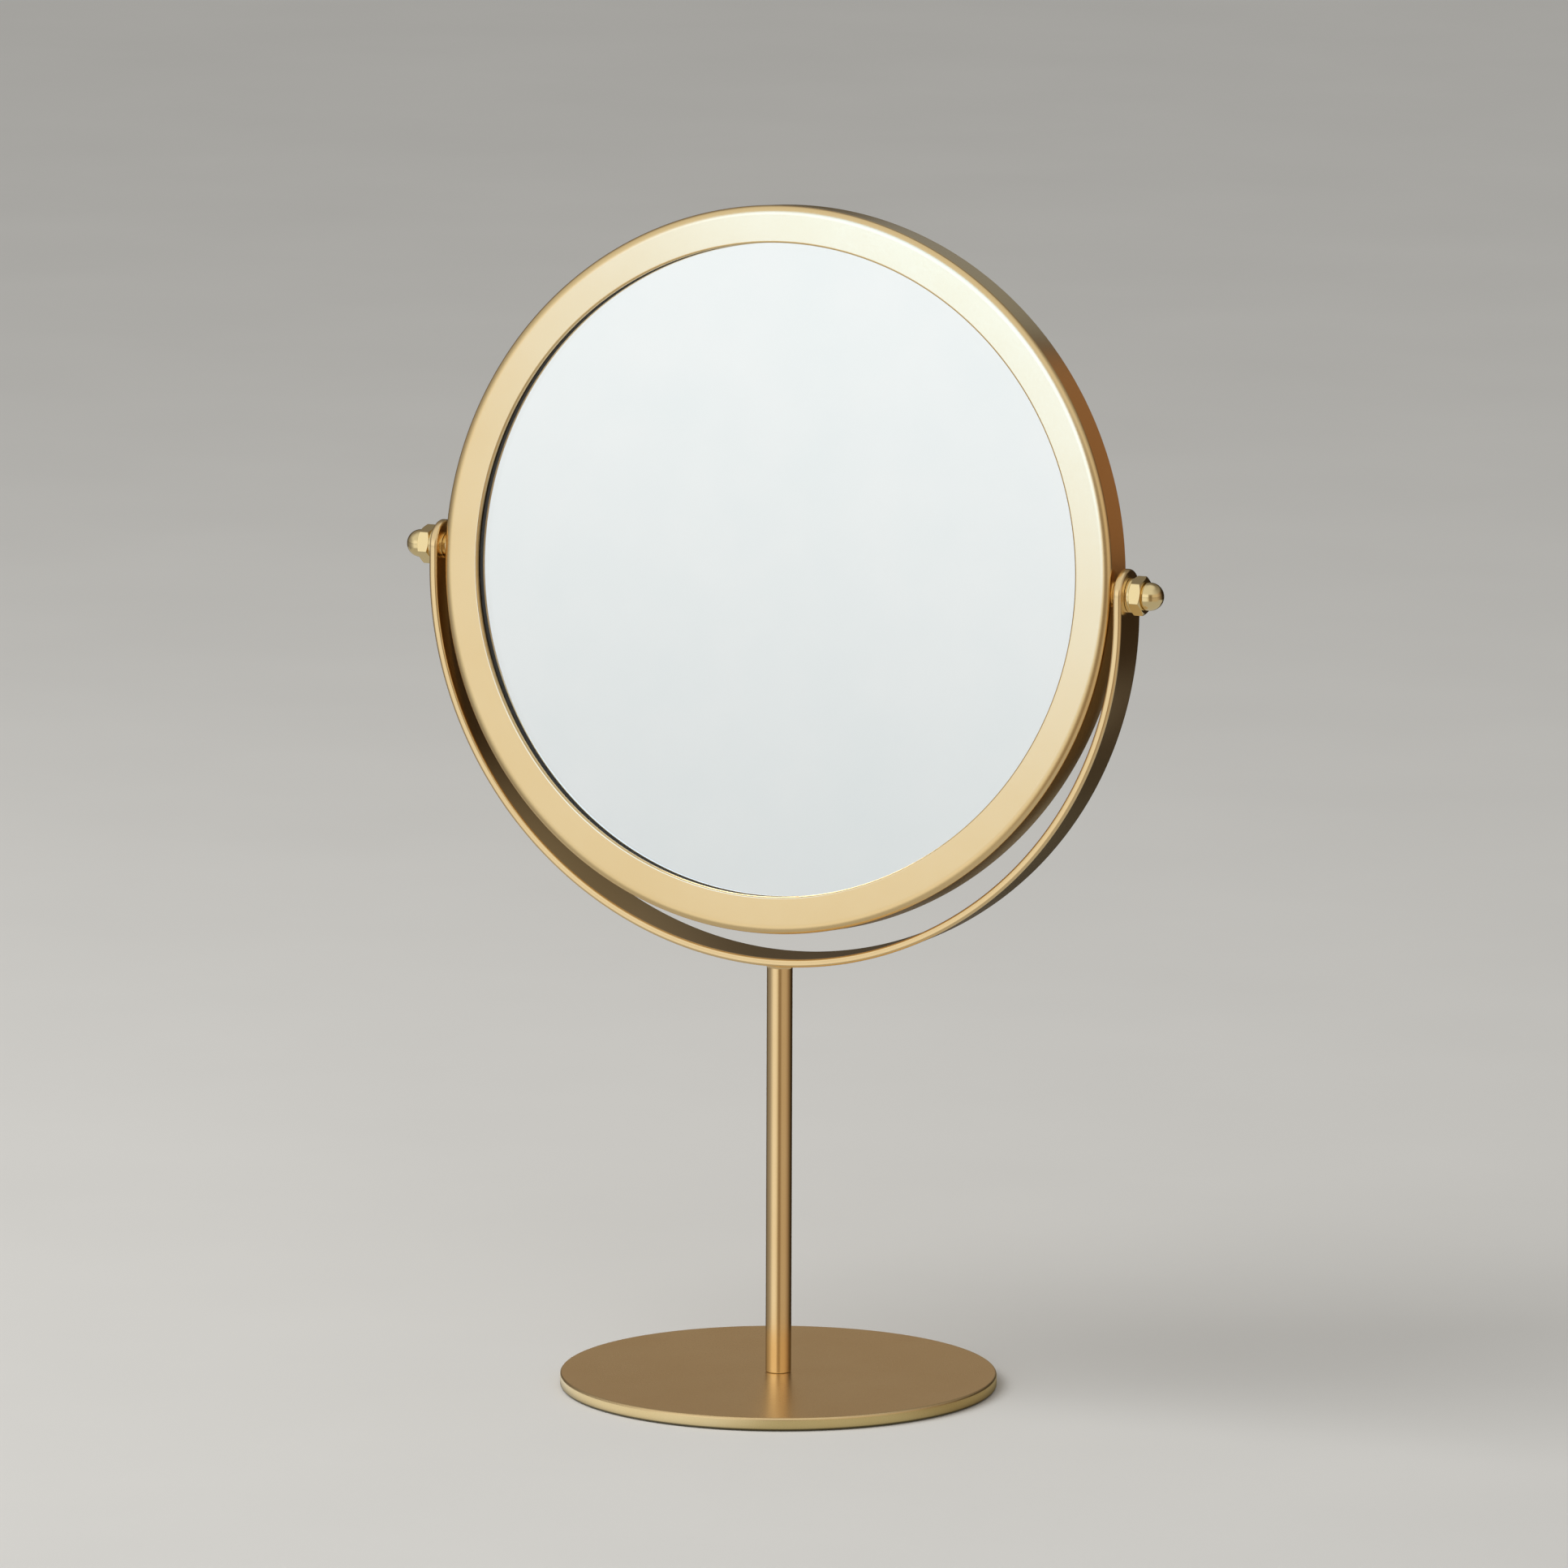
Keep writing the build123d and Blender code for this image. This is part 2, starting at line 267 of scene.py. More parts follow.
def cut(piece, tool, operation="DIFFERENCE"):
    """Cuts a piece with a tool, or joins or trims it, and takes the tool away."""
    modify(piece, "BOOLEAN", operation=operation, object=tool, solver="EXACT")
    bpy.data.objects.remove(tool)


def put(piece, place):
    """Takes a piece from where it was modelled to its place in the frame, held in its mesh."""
    piece.matrix_world = place
    pick_up(piece)
    bpy.ops.object.transform_apply(location=True, rotation=True, scale=True)
    return piece


def smooth(piece, angle=35):
    """Shades a piece smooth up to that angle, with its normals led by its large faces."""
    pick_up(piece)
    bpy.ops.object.shade_smooth_by_angle(angle=radians(angle))
    modify(piece, "WEIGHTED_NORMAL", keep_sharp=True, weight=80)
    return piece


def hand_in(piece, body, node, material):
    """Gives a finished piece its material, its body, and the node that it stands for."""
    piece.data.materials.clear()
    piece.data.materials.append(material)
    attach(piece, body)
    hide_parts(node)


# ---- Shader node helpers ----
noise_low, noise_high = 0.3, 0.7    # nearly all of a noise lies between these
cloud_scale, grain_scale, grain_mix = 40.0, 2500.0, 0.4
bump_height = 0.02 * MM


def new_tree_node(tree, kind, values=None, **settings):
    """Adds a node with those settings, and those values on its inputs."""
    node = tree.nodes.new(kind)
    for setting, value in settings.items():
        setattr(node, setting, value)
    for socket, value in (values or {}).items():
        node.inputs[socket].default_value = value
    return node


def new_material(name, constants):
    """A node material with those constants on its shader's own sockets."""
    material = bpy.data.materials.new(name)
    material.use_nodes = True
    tree = material.node_tree
    shader = tree.nodes["Principled BSDF"]
    for socket, value in constants.items():
        shader.inputs[socket].default_value = value
    return material, tree, shader


def ramp(tree, factor, stops):
    """Runs through the stops, each a position from 0 to 1 and a colour."""
    node = tree.nodes.new("ShaderNodeValToRGB")
    elements = node.color_ramp.elements
    elements.remove(elements[1])
    elements[0].position, elements[0].color = stops[0][0], (*stops[0][1], 1)
    for position, colour in stops[1:]:
        elements.new(position).color = (*colour, 1)
    tree.links.new(factor, node.inputs["Fac"])
    return node.outputs["Color"]


def tones_of(tree, noise, deep_tone, light_tone):
    """Drifts between two tones with a noise."""
    return ramp(tree, noise, ((noise_low, deep_tone), (noise_high, light_tone)))


def range_of(tree, noise, low, high):
    """Maps a noise to the range from low to high."""
    node = new_tree_node(tree, "ShaderNodeMapRange", {
        "From Min": noise_low, "From Max": noise_high, "To Min": low, "To Max": high})
    tree.links.new(noise, node.inputs["Value"])
    return node.outputs["Result"]


def make_satin_group():
    """Satin plating: a cloudy tone that drifts over centimetres, and a fine grain."""
    group = bpy.data.node_groups.new("satin_plating", "ShaderNodeTree")
    add_socket = group.interface.new_socket
    inputs = (("Cloud Scale", 1000, cloud_scale), ("Grain Scale", 20000, grain_scale),
              ("Grain Mix", 1, grain_mix))
    for name, high, value in inputs:
        socket = add_socket(name=name, in_out="INPUT", socket_type="NodeSocketFloat")
        socket.min_value, socket.max_value, socket.default_value = 0, high, value
    for name in ("Tone", "Grain"):
        add_socket(name=name, in_out="OUTPUT", socket_type="NodeSocketFloat")
    inside = new_tree_node(group, "NodeGroupInput")
    outside = new_tree_node(group, "NodeGroupOutput")
    place = new_tree_node(group, "ShaderNodeTexCoord")
    cloud = new_tree_node(group, "ShaderNodeTexNoise", {"Detail": 3.0, "Roughness": 0.55})
    grain = new_tree_node(group, "ShaderNodeTexNoise", {"Detail": 2.0, "Roughness": 0.6})
    speckle = new_tree_node(group, "ShaderNodeTexNoise", {"Detail": 1.0, "Scale": 9000.0})
    mixed = new_tree_node(group, "ShaderNodeMix")
    link = group.links.new
    for noise in (cloud, grain, speckle):
        link(place.outputs["Object"], noise.inputs["Vector"])
    link(inside.outputs["Cloud Scale"], cloud.inputs["Scale"])
    link(inside.outputs["Grain Scale"], grain.inputs["Scale"])
    link(inside.outputs["Grain Mix"], mixed.inputs["Factor"])
    link(grain.outputs["Fac"], mixed.inputs["A"])
    link(speckle.outputs["Fac"], mixed.inputs["B"])
    link(cloud.outputs["Fac"], outside.inputs["Tone"])
    link(mixed.outputs["Result"], outside.inputs["Grain"])
    return group


def make_metal(name, light_tone, deep_tone, roughness, bump, clouds=cloud_scale):
    """Plated metal: its tone drifts, and its grain turns the gloss and the surface."""
    material, tree, shader = new_material(name, {"Metallic": 1.0})
    plating = new_tree_node(tree, "ShaderNodeGroup", {
        "Cloud Scale": clouds, "Grain Scale": grain_scale, "Grain Mix": grain_mix},
        node_tree=satin_group)
    grain = plating.outputs["Grain"]
    tone = tones_of(tree, plating.outputs["Tone"], deep_tone, light_tone)
    bumped = new_tree_node(tree, "ShaderNodeBump", {"Strength": bump, "Distance": bump_height})
    tree.links.new(grain, bumped.inputs["Height"])
    tree.links.new(tone, shader.inputs["Base Color"])
    tree.links.new(range_of(tree, grain, *roughness), shader.inputs["Roughness"])
    tree.links.new(bumped.outputs["Normal"], shader.inputs["Normal"])
    return material


def make_cloudy(name, light_tone, deep_tone, scale, detail, constants, roughness=None):
    """A material whose tone drifts with one noise, and its gloss too where a range is given."""
    material, tree, shader = new_material(name, constants)
    place = new_tree_node(tree, "ShaderNodeTexCoord")
    cloud = new_tree_node(tree, "ShaderNodeTexNoise", {"Scale": scale, "Detail": detail})
    tree.links.new(place.outputs["Object"], cloud.inputs["Vector"])
    tone = tones_of(tree, cloud.outputs["Fac"], deep_tone, light_tone)
    tree.links.new(tone, shader.inputs["Base Color"])
    if roughness:
        tree.links.new(range_of(tree, cloud.outputs["Fac"], *roughness), shader.inputs["Roughness"])
    return material


# ---- Materials ----
satin_group = make_satin_group()
satin_gold = make_metal(
    "satin_gold", (0.94, 0.71, 0.39), (0.91, 0.67, 0.35), roughness=(0.16, 0.22), bump=0.05)
face_gold = make_metal(
    "face_gold", (0.93, 0.70, 0.37), (0.91, 0.67, 0.34), roughness=(0.21, 0.27), bump=0.05)
plate_gold = make_metal(
    "plate_gold", (0.91, 0.69, 0.38), (0.88, 0.65, 0.34), roughness=(0.26, 0.33), bump=0.08,
    clouds=60.0)
post_gold = make_metal(
    "post_gold", (0.95, 0.70, 0.38), (0.92, 0.66, 0.34), roughness=(0.15, 0.20), bump=0.05)
polished_gold = make_metal(
    "polished_gold", (0.90, 0.73, 0.40), (0.87, 0.69, 0.36), roughness=(0.09, 0.15), bump=0.04)
steel = make_metal(
    "zinc_steel", (0.62, 0.62, 0.61), (0.52, 0.52, 0.52), roughness=(0.30, 0.42), bump=0.10)
clear_glass = make_cloudy(
    "clear_glass", (0.985, 0.995, 0.99), (0.975, 0.99, 0.985), scale=30.0, detail=2.0,
    constants={"Transmission Weight": 1.0, "IOR": 1.5}, roughness=(0.0, 0.004))
silvering = make_cloudy(
    "silvering", (0.965, 0.97, 0.972), (0.95, 0.96, 0.965), scale=60.0, detail=2.0,
    constants={"Metallic": 1.0}, roughness=(0.0, 0.01))
dark_pad = make_cloudy(
    "dark_pad", (0.035, 0.03, 0.027), (0.02, 0.018, 0.016), scale=900.0, detail=4.0,
    constants={"Metallic": 0.0}, roughness=(0.75, 0.9))
foam = make_cloudy(
    "foam", (0.62, 0.62, 0.60), (0.52, 0.52, 0.50), scale=1500.0, detail=4.0,
    constants={"Metallic": 0.0}, roughness=(0.85, 0.95))
pale_stone = make_cloudy(
    "pale_stone", (0.70, 0.70, 0.69), (0.68, 0.68, 0.67), scale=9.0, detail=5.0,
    constants={"Roughness": 0.42, "Specular IOR Level": 0.0})


# ---- Head ----
def arc_places(middle, radius, start, end, steps):
    """Places along an arc of a section, as (radius, height), from one angle to another."""
    angles = [start + (end - start) * step / steps for step in range(1, steps + 1)]
    return [(middle[0] + radius * sin(angle), middle[1] + radius * cos(angle)) for angle in angles]


def make_front_frame():
    """One sheet: a flat face with a rounded lip, a shoulder that rolls over, and a side wall."""
    shell = cylinder("frame_shell", frame_radius, -half_depth, wall_front, fine_sides)
    edit(shell)
    choose("FACE", end_face(wall_front, True))
    corner = arc_places(
        (frame_radius - corner_radius, wall_front), corner_radius, pi / 2, shoulder_angle, steps=7)
    shoulder = arc_places(
        (shoulder_start, half_depth - shoulder_radius), shoulder_radius, shoulder_angle, 0, steps=7)
    draw_out(frame_radius, wall_front, corner + shoulder + [(opening_radius, half_depth)])
    choose("FACE", end_face(-half_depth, False))
    draw_out(frame_radius, -half_depth, (
        (wall_inner_radius, -half_depth), (wall_inner_radius, wall_front),
        (shoulder_start, face_back), (opening_radius, face_back)))
    choose("FACE", lambda face: len(face.verts) == fine_sides)
    bpy.ops.mesh.bridge_edge_loops()
    round_edges(rim(opening_radius, half_depth), face_lip_radius, steps=5)
    round_edges(rim(opening_radius, face_back), small_edge, steps=2)
    for radius in (frame_radius, wall_inner_radius):
        round_edges(rim(radius, -half_depth), rear_edge, steps=3)
    leave()
    put(shell, head_place)
    drill = cylinder(
        "drill", clear_hole_radius, -frame_radius * through, frame_radius * through, sides=48)
    cut(shell, put(drill, pivot_places["right"]))
    hand_in(smooth(shell), "mirror_head", "front_frame", face_gold)


def make_glass_disc():
    """A disc behind the face, with both of its edges eased."""
    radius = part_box("mirror_glass")[1].x
    back = glass_front - glass_thickness
    disc = cylinder("glass_disc", radius, back, glass_front, sides=256)
    edit(disc)
    for height in (back, glass_front):
        round_edges(rim(radius, height), glass_edge, steps=2)
    leave()
    put(disc, head_place)
    hand_in(smooth(disc), "mirror_head", "mirror_glass", clear_glass)


def make_cover():
    """A pressed lid: a rolled edge behind, a rim in front, notched over the pivot bosses."""
    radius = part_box("back_cover")[1].x
    front = cover_back + cover_rim_depth
    cover = cylinder("back_lid", radius, cover_back, front, fine_sides)
    edit(cover)
    choose("FACE", end_face(front, True))
    bpy.ops.mesh.inset(thickness=cover_thickness)
    bpy.ops.mesh.extrude_region_move(
        TRANSFORM_OT_translate={"value": (0, 0, cover_thickness - cover_rim_depth)})
    round_edges(rim(radius, cover_back), cover_bevel, steps=4)
    leave()
    put(cover, head_place)
    boss_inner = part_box("pivot_boss_right")[0].x
    stretch = Matrix.Diagonal((notch_depth, notch_height, notch_width, 1))
    for side in (-1, 1):
        deselect()
        bpy.ops.mesh.primitive_cube_add(size=1)
        shift = Matrix.Translation((side * (boss_inner - notch_gap + notch_depth / 2), 0, 0))
        cut(cover, put(name_new("notch"), head_place @ shift @ stretch))
    hand_in(smooth(cover), "mirror_head", "back_cover", satin_gold)


# ---- Pivots ----
def make_ring(name, outer, start, end):
    """A turned ring on the vertical that clears the stud, with both outer rims broken."""
    piece = cylinder(name, outer, start, end, small_sides)
    edit(piece)
    bore(start, end, outer - clear_hole_radius)
    for height in (start, end):
        round_edges(rim(outer, height), small_edge, steps=3)
    leave()
    return piece


def make_hexagon(base, top):
    """A hexagon with eased corners, both ends turned down to a chamfer."""
    corner = nut_flats / 2 / cos(pi / 6)
    hexagon = cylinder("nut", corner, base, top, sides=6)
    edit(hexagon)
    round_edges(
        lambda edge: abs(edge.verts[0].co.z - edge.verts[1].co.z) > tiny, small_edge, steps=3)
    leave()
    wide = corner + nut_chamfer_lap
    narrow = nut_flats / 2 - nut_chamfer_lap
    fall = (wide - narrow) * tan(nut_chamfer_angle)
    blank = cylinder("turned_blank", wide, base + fall, top - fall, small_sides)
    edit(blank)
    for height, end, up in ((top - fall, top, True), (base + fall, base, False)):
        choose("FACE", end_face(height, up))
        draw_out(wide, height, [(narrow, end)])
    leave()
    cut(hexagon, blank, "INTERSECT")
    return hexagon


def make_dome(top, tip):
    """The dome of an acorn nut: its foot rolls under to a neck that sinks into the hexagon."""
    middle = tip - dome_radius
    deselect()
    bpy.ops.mesh.primitive_uv_sphere_add(
        segments=small_sides, ring_count=48, radius=dome_radius, location=(0, 0, middle))
    dome = name_new("dome")
    edit(dome)
    choose("VERT", lambda point: point.co.z < middle - tiny)
    bpy.ops.mesh.delete(type="VERT")
    choose("EDGE", lambda edge: edge.is_boundary)
    foot = [(dome_radius - inwards * MM, top + up * MM) for inwards, up in dome_foot]
    neck = [(neck_radius, top + neck_height), (neck_radius, top - neck_sink)]
    draw_out(dome_radius, middle, foot + neck, bpy.ops.mesh.extrude_edges_move)
    bpy.ops.mesh.edge_face_add()
    bpy.ops.mesh.select_all(action="SELECT")
    bpy.ops.mesh.normals_make_consistent(inside=False)
    leave()
    return dome


def make_nut():
    """An acorn nut on the vertical."""
    base = nut_low.x - pivot.x
    top = base + nut_hex_height
    nut = make_hexagon(base, top)
    cut(nut, make_dome(top, nut_high.x - pivot.x), "UNION")
    cut(nut, cylinder("drill", thread_radius, base - overrun, base + nut_bore_depth, sides=48))
    return nut


def make_pivots():
    """Models each turned piece once on the vertical, and puts a copy of it on each side."""
    shapes = {
        "spacer": (make_ring("spacer", spacer_high.y, frame_radius, spacer_high.x), "pivot_spacer"),
        "washer": (make_ring("washer", washer_high.y, washer_low.x, washer_high.x), "pivot_washer"),
        "nut": (make_nut(), "acorn_nut"),
    }
    for side, place in pivot_places.items():
        for name, (shape, node) in shapes.items():
            pick_up(shape)
            bpy.ops.object.duplicate()
            piece = bpy.context.object
            piece.name = piece.data.name = f"{name}_{side}"
            put(piece, place)
            smooth(piece, angle=25)
            hand_in(piece, "mirror_head", f"{node}_{side}", polished_gold)
    for shape, node in shapes.values():
        bpy.data.objects.remove(shape)


# ---- Stand ----
def make_yoke():
    """One strap: a round tip, a short straight, and a quarter bend, mirrored into the whole U."""
    deselect()
    bpy.ops.mesh.primitive_cylinder_add(
        vertices=small_sides, radius=strap_half_width, depth=strap_thickness,
        end_fill_type="TRIFAN", location=((strap_inner + strap_outer) / 2, 0, pivot.z),
        rotation=(0, pi / 2, 0))
    yoke = name_new("strap_yoke")
    edit(yoke)
    choose("VERT", lambda point: point.co.z < pivot.z - tiny)
    bpy.ops.mesh.delete(type="VERT")
    choose("EDGE", lambda edge: edge.is_boundary)
    bpy.ops.mesh.extrude_edges_move(TRANSFORM_OT_translate={"value": (0, 0, bend_height - pivot.z)})
    bpy.ops.mesh.spin(steps=120, angle=-pi / 2, center=(0, 0, bend_height), axis=(0, 1, 0))
    leave()
    modify(yoke, "MIRROR", use_mirror_merge=True, merge_threshold=tiny)

    def strap_rim(radius):
        """A test for the edges of the strap's outline on its face of that radius."""
        def on_rim(point):
            out = sqrt(point.co.x**2 + min(point.co.z - bend_height, 0) ** 2)
            across = sqrt(point.co.y**2 + max(point.co.z - pivot.z, 0) ** 2)
            return at(out, radius) and at(across, strap_half_width)
        return lambda edge: all(on_rim(point) for point in edge.verts)

    edit(yoke)
    bpy.ops.mesh.select_all(action="SELECT")
    bpy.ops.mesh.remove_doubles(threshold=tiny)
    bpy.ops.mesh.normals_make_consistent(inside=False)
    round_edges(strap_rim(strap_outer), strap_edge_radius, steps=6)
    round_edges(strap_rim(strap_inner), strap_inner_edge, steps=3)
    leave()
    drill = cylinder(
        "drill", strap_hole_radius, -strap_outer * through, strap_outer * through, sides=64)
    cut(yoke, put(drill, pivot_places["right"]))
    hand_in(smooth(yoke), "stand", "yoke", satin_gold)


def make_post():
    """A turned rod with a broken foot, tapped below, flaring into its braze under the yoke."""
    post = cylinder("rod", post_radius, post_low.z, flare_start, small_sides)
    edit(post)
    round_edges(rim(post_radius, post_low.z), post_foot_edge, steps=2)
    choose("FACE", end_face(flare_start, True))
    spread = flare_radius - post_radius
    arc_radius = (spread**2 + braze_height**2) / (2 * spread)
    rises = [braze_height * step / braze_steps for step in range(1, braze_steps + 1)]
    flare = [(post_radius + arc_radius - sqrt(arc_radius**2 - rise**2), flare_start + rise)
             for rise in rises]
    draw_out(post_radius, flare_start, flare + [(flare_radius, yoke_low.z + overrun)])
    leave()
    saddle = cylinder(
        "saddle", strap_outer + saddle_gap, -saddle_length / 2, saddle_length / 2, sides=512)
    lay_along = Matrix.Translation((0, 0, bend_height)) @ Matrix.Rotation(pi / 2, 4, "X")
    cut(post, put(saddle, lay_along))
    cut(post, cylinder(
        "drill", thread_radius, post_low.z - overrun, post_low.z + post_bore_depth, sides=48))
    hand_in(smooth(post, angle=40), "stand", "post", post_gold)


def make_plate():
    """A turned disc, its top rim rolled over, countersunk below."""
    plate = cylinder("plate", plate_radius, plate_low.z, plate_high.z, fine_sides)
    edit(plate)
    round_edges(rim(plate_radius, plate_high.z), plate_edge_radius, steps=6)
    round_edges(rim(plate_radius, plate_low.z), plate_bottom_edge, steps=5)
    leave()
    cut(plate, cylinder(
        "drill", screw_clearance_radius, plate_low.z - overrun, plate_high.z + overrun, sides=64))
    deselect()
    depth = screw_head_clearance_radius         # a right-angled countersink
    bpy.ops.mesh.primitive_cone_add(
        vertices=64, radius1=depth, radius2=0, depth=depth,
        location=(0, 0, plate_low.z + depth / 2))
    cut(plate, name_new("countersink"))
    hand_in(smooth(plate), "stand", "base_plate", plate_gold)


make_front_frame()
make_glass_disc()
make_cover()
make_pivots()
make_yoke()
make_post()
make_plate()

# ---- Frame pieces that keep their own shape ----
kept_nodes = {
    "base_pad": dark_pad, "base_screw": steel, "silver_coating": silvering, "foam_pad": foam}
for side in pivot_places:
    kept_nodes[f"pivot_boss_{side}"] = steel
    kept_nodes[f"pivot_stud_{side}"] = steel
for node, material in kept_nodes.items():
    for material_slot in frame["nodes"][node].material_slots:
        material_slot.material = material


# ---- Floor ----
floor_radius = 3.4
card_radius = 0.08
card_turn = radians(50)             # painted light: the card grows lighter towards this far left of the front
card_shade = 0.12                   # painted shadow: what is left of its tone close under the plate
card_shade_end = 0.050              # measured from the middle
card_clear_start = 0.056
card_reach = 0.045                  # gloss from farther off passes through it


def stage_disc(name, radius, height, material):
    """A thin round piece of the set."""
    deselect()
    bpy.ops.mesh.primitive_circle_add(
        vertices=128, radius=radius, fill_type="NGON", location=(0, 0, height))
    piece = name_new(name)
    piece.data.materials.append(material)
    return piece


def make_painted_floor_material():
    """Glows with painted tones of the lit floor: painted light to the left, painted shadow close to
    the plate. It shows only in what is right beside it."""
    material, tree, shader = new_material("near_floor", {
        "Base Color": (0, 0, 0, 1), "Specular IOR Level": 0.0, "Emission Strength": 1.0})
    place = new_tree_node(tree, "ShaderNodeTexCoord")
    across = new_tree_node(tree, "ShaderNodeVectorMath", operation="DOT_PRODUCT")
    across.inputs[1].default_value = (-sin(card_turn), -cos(card_turn), 0)
    tree.links.new(place.outputs["Object"], across.inputs[0])
    share = new_tree_node(
        tree, "ShaderNodeMapRange", {"From Min": -card_radius, "From Max": card_radius})
    tree.links.new(across.outputs["Value"], share.inputs["Value"])
    # painted light: the floor's tones, lighter towards the front left
    tone = ramp(tree, share.outputs["Result"], (
        (0.27, (0.29, 0.27, 0.18)), (0.38, (0.42, 0.44, 0.35)), (0.62, (0.48, 0.50, 0.40)),
        (0.70, (0.67, 0.73, 0.74)), (0.81, (0.83, 0.88, 0.88))))
    out = new_tree_node(tree, "ShaderNodeVectorMath", operation="LENGTH")
    tree.links.new(place.outputs["Object"], out.inputs[0])
    # painted shadow close under the plate's edge
    clear = new_tree_node(tree, "ShaderNodeMapRange", {
        "From Min": card_shade_end, "From Max": card_clear_start,
        "To Min": card_shade, "To Max": 1.0}, interpolation_type="SMOOTHSTEP")
    tree.links.new(out.outputs["Value"], clear.inputs["Value"])
    shaded = new_tree_node(tree, "ShaderNodeVectorMath", operation="SCALE")
    tree.links.new(tone, shaded.inputs[0])
    tree.links.new(clear.outputs["Result"], shaded.inputs["Scale"])
    tree.links.new(shaded.outputs[0], shader.inputs["Emission Color"])
    path = new_tree_node(tree, "ShaderNodeLightPath")
    far = new_tree_node(tree, "ShaderNodeMath", operation="GREATER_THAN")
    far.inputs[1].default_value = card_reach
    tree.links.new(path.outputs["Ray Length"], far.inputs[0])
    see_through = new_tree_node(tree, "ShaderNodeBsdfTransparent")
    choice = new_tree_node(tree, "ShaderNodeMixShader")
    tree.links.new(far.outputs[0], choice.inputs[0])
    tree.links.new(shader.outputs[0], choice.inputs[1])
    tree.links.new(see_through.outputs[0], choice.inputs[2])
    tree.links.new(choice.outputs[0], tree.nodes["Material Output"].inputs["Surface"])
    return material


floor = stage_disc("floor", floor_radius, 0, pale_stone)
floor.visible_glossy = False        # metal and glass show the soft room instead

# A glowing card that only gloss sees: a painted reflection of the floor beside the plate's edge,
# with painted light and painted shadow.
near_floor = stage_disc("near_floor", card_radius, 0.01 * MM, make_painted_floor_material())
near_floor.visible_camera = near_floor.visible_diffuse = near_floor.visible_shadow = False


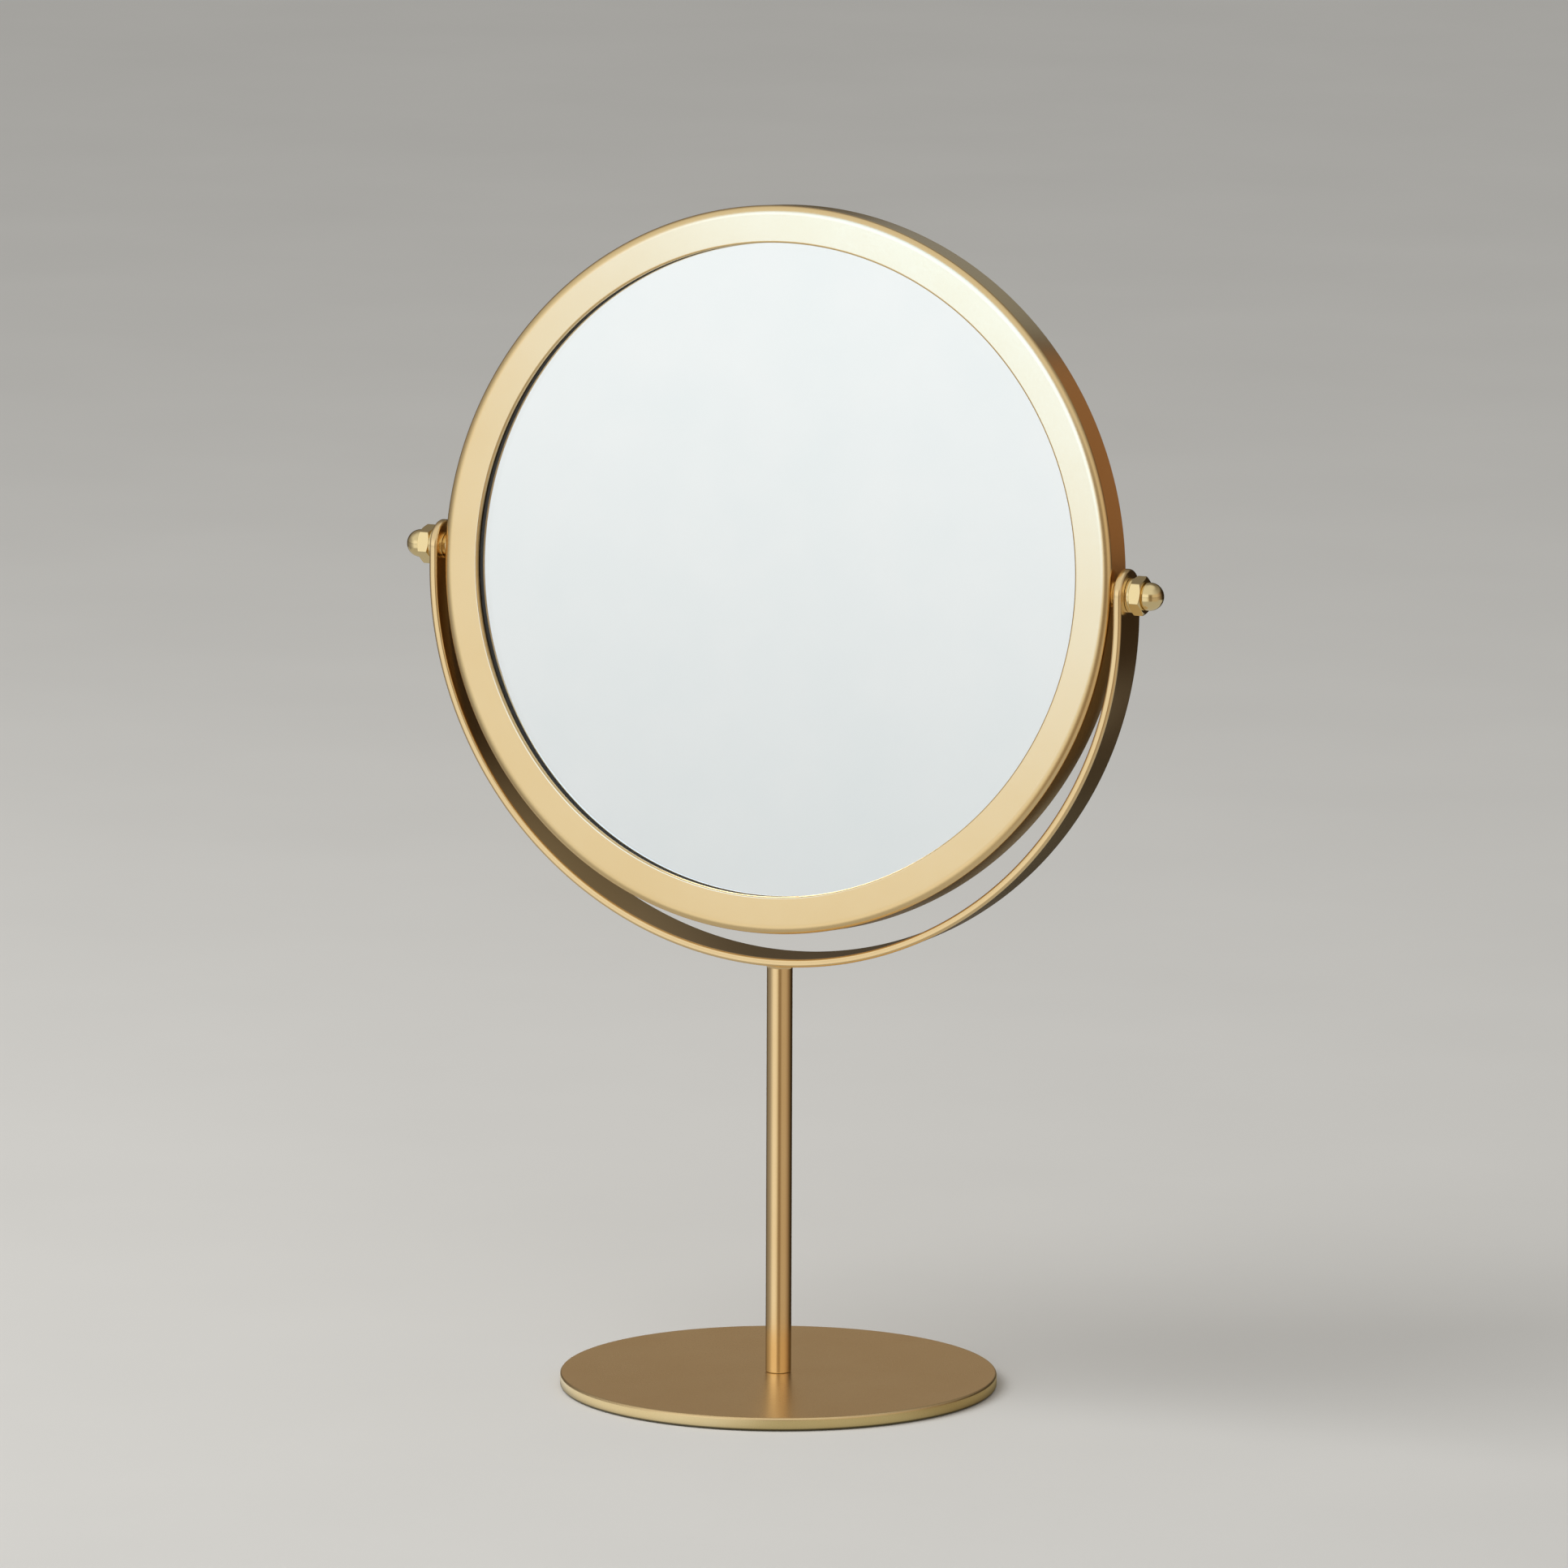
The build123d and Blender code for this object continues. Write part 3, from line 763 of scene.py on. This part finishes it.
# ---- Light ----
def make_world():
    """A soft room, painted by direction: window tones at the front left, dark at the rear, pale
    below and overhead. Azimuths are in degrees, 0 straight in front and 90 at the right as one
    faces the mirror."""
    world = bpy.data.worlds.new("soft_room")
    bpy.context.scene.world = world
    world.use_nodes = True
    tree = world.node_tree
    shader = tree.nodes["Background"]
    place = new_tree_node(tree, "ShaderNodeTexCoord")
    split = new_tree_node(tree, "ShaderNodeSeparateXYZ")
    tree.links.new(place.outputs["Generated"], split.inputs[0])
    backwards = new_tree_node(tree, "ShaderNodeMath", operation="MULTIPLY")
    backwards.inputs[1].default_value = -1.0
    tree.links.new(split.outputs["Y"], backwards.inputs[0])
    angle = new_tree_node(tree, "ShaderNodeMath", operation="ARCTAN2")
    tree.links.new(split.outputs["X"], angle.inputs[0])
    tree.links.new(backwards.outputs[0], angle.inputs[1])
    around = new_tree_node(tree, "ShaderNodeMapRange", {"From Min": -pi, "From Max": pi})
    tree.links.new(angle.outputs[0], around.inputs["Value"])

    def around_room(stops):
        """A ring of colours, each at its azimuth."""
        shares = [((azimuth + 180) / 360, colour) for azimuth, colour in stops]
        return ramp(tree, around.outputs["Result"], shares)

    def fade(low, high, below, above):
        """Goes from one colour to another as the view direction rises through that range of Z."""
        share = new_tree_node(tree, "ShaderNodeMapRange", {"From Min": low, "From Max": high},
                              interpolation_type="SMOOTHSTEP")
        tree.links.new(split.outputs["Z"], share.inputs["Value"])
        mixed = new_tree_node(tree, "ShaderNodeMix", data_type="RGBA")
        tree.links.new(share.outputs["Result"], mixed.inputs["Factor"])
        for socket, colour in (("A", below), ("B", above)):
            if isinstance(colour, tuple):
                mixed.inputs[socket].default_value = (*colour, 1)
            else:
                tree.links.new(colour, mixed.inputs[socket])
        return mixed.outputs["Result"]

    floor_tone = (0.46, 0.45, 0.42)
    ceiling_tone = (0.70, 0.70, 0.69)
    rear_tone = (0.05, 0.045, 0.035)
    rear_left = ((-180, rear_tone), (-125, (0.10, 0.08, 0.06)))
    rear_right = ((145, (0.03, 0.02, 0.012)), (165, (0.03, 0.02, 0.012)), (179.9, rear_tone))
    low_front = (
        (-95, (0.24, 0.235, 0.225)), (-68, (0.33, 0.32, 0.31)), (-46, (0.60, 0.60, 0.59)),
        (-34, (0.87, 0.88, 0.88)), (-8, (0.87, 0.88, 0.88)), (6, (0.72, 0.68, 0.60)),
        (16, (0.31, 0.25, 0.18)), (32, (0.26, 0.20, 0.13)), (46, (0.50, 0.43, 0.34)),
        (82, (0.49, 0.42, 0.33)))
    low_walls = around_room((
        *rear_left, *low_front, (108, (0.30, 0.23, 0.17)), (128, (0.14, 0.11, 0.07)), *rear_right))
    high_walls = around_room((
        *rear_left,
        (-95, (0.30, 0.29, 0.28)), (-68, (0.42, 0.41, 0.40)), (-46, (0.76, 0.77, 0.76)),
        (-34, (0.98, 0.99, 0.99)), (4, (0.98, 0.99, 0.99)), (14, (0.30, 0.24, 0.18)),
        (32, (0.24, 0.19, 0.12)), (46, (0.62, 0.54, 0.43)), (82, (0.61, 0.52, 0.41)),
        (108, (0.36, 0.27, 0.20)), (128, (0.13, 0.09, 0.06)),
        *rear_right))
    far_floor = around_room((
        rear_left[0], (-165, rear_tone), (-148, floor_tone), (-112, floor_tone),
        *low_front, (112, floor_tone), (148, floor_tone), *rear_right[1:]))
    overhead = around_room((
        (-180, (0.17, 0.15, 0.12)), (-110, (0.30, 0.28, 0.26)), (-60, (0.72, 0.72, 0.70)),
        (40, (0.72, 0.72, 0.70)), (110, (0.34, 0.32, 0.29)), (179.9, (0.17, 0.15, 0.12))))

    horizon_dip = fade(-0.13, -0.03, (1.0, 1.0, 1.0), (0.82, 0.82, 0.82))
    horizon_dip = fade(-0.01, 0.07, horizon_dip, (1.0, 1.0, 1.0))
    walls = new_tree_node(tree, "ShaderNodeVectorMath", operation="MULTIPLY")
    tree.links.new(fade(-0.01, 0.07, low_walls, high_walls), walls.inputs[0])
    tree.links.new(horizon_dip, walls.inputs[1])
    room = fade(-0.38, -0.24, far_floor, walls.outputs[0])
    room = fade(-0.60, -0.45, floor_tone, room)
    room = fade(0.25, 0.55, room, overhead)
    room = fade(0.75, 1.0, room, ceiling_tone)
    tree.links.new(room, shader.inputs["Color"])
    shader.inputs["Strength"].default_value = 1.0


def towards(azimuth, elevation):
    """The direction out to that azimuth and elevation, in degrees, as in the room."""
    a, e = radians(azimuth), radians(elevation)
    return Vector((sin(a) * cos(e), -cos(a) * cos(e), sin(e)))


def add_lamp(name, place, aim, size, power, colour, gloss_of=None):
    """A round soft lamp at a place, turned to its aim. Its light shows in no gloss or, where a
    piece is named, in the gloss of that piece alone."""
    light = bpy.data.lights.new(name, "AREA")
    light.shape = "DISK"
    light.size = size
    light.energy = power
    light.color = colour
    lamp = bpy.data.objects.new(name, light)
    bpy.context.scene.collection.objects.link(lamp)
    lamp.location = place
    lamp.rotation_euler = (aim - place).to_track_quat("-Z", "Y").to_euler()
    lamp.visible_camera = False
    if gloss_of is None:
        lamp.visible_glossy = False
        return
    lamp.visible_diffuse = False
    lit = bpy.data.collections.new(f"{name}_pieces")
    lit.objects.link(bpy.data.objects[gloss_of])
    lamp.light_linking.receiver_collection = lit


make_world()

# The key lamp lights everything and makes the shadow. Each other lamp is seen in the gloss of one
# piece alone.
plate_top = Vector((0, 0, plate_high.z))
plate_foot = Vector((0, 0, 0))
beside_face = pivot + 0.6 * towards(-24, 1) + 0.14 * towards(66, 0) + Vector((0, 0, 0.242))
add_lamp("key_lamp", pivot + 1.5 * towards(-52, 50), pivot,
         size=1.3, power=14.5, colour=(1.0, 0.98, 0.95))
add_lamp("face_lamp", beside_face, pivot,
         size=0.50, power=1.25, colour=(0.12, 0.37, 1.0), gloss_of="frame_shell")
add_lamp("side_lamp", pivot + 1.0 * towards(157, 9), pivot,
         size=0.56, power=0.17, colour=(1.0, 0.51, 0.24), gloss_of="frame_shell")
add_lamp("rim_lamp", pivot + 1.0 * towards(188, 24), pivot,
         size=0.56, power=0.17, colour=(0.78, 0.90, 1.0), gloss_of="frame_shell")
add_lamp("back_lamp", pivot + 1.2 * towards(190, -4), pivot,
         size=1.5, power=2.75, colour=(1.0, 0.98, 0.94), gloss_of="back_lid")
add_lamp("plate_lamp", plate_top + 0.6 * towards(204, 10), plate_foot,
         size=0.42, power=0.09, colour=(1.0, 0.77, 0.52), gloss_of="plate")


# ---- Camera ----
def make_camera():
    """Aims at a point below the head, on the stand's axis but for a hair; the picture is square."""
    aim = Vector((0.0009, 0, 0.1424))
    back = towards(24.12, 9.86)
    distance = 3.204
    roll = Matrix.Rotation(radians(0.21), 4, "Z")
    camera = bpy.data.objects.new("camera", bpy.data.cameras.new("camera"))
    bpy.context.scene.collection.objects.link(camera)
    camera.location = aim + distance * back
    facing = (-back).to_track_quat("-Z", "Y").to_matrix().to_4x4()
    camera.rotation_euler = (facing @ roll).to_euler()
    camera.data.sensor_width = 36
    camera.data.lens = 317.4
    camera.data.clip_end = 50
    bpy.context.scene.camera = camera


make_camera()
bpy.context.scene.view_settings.view_transform = "Standard"
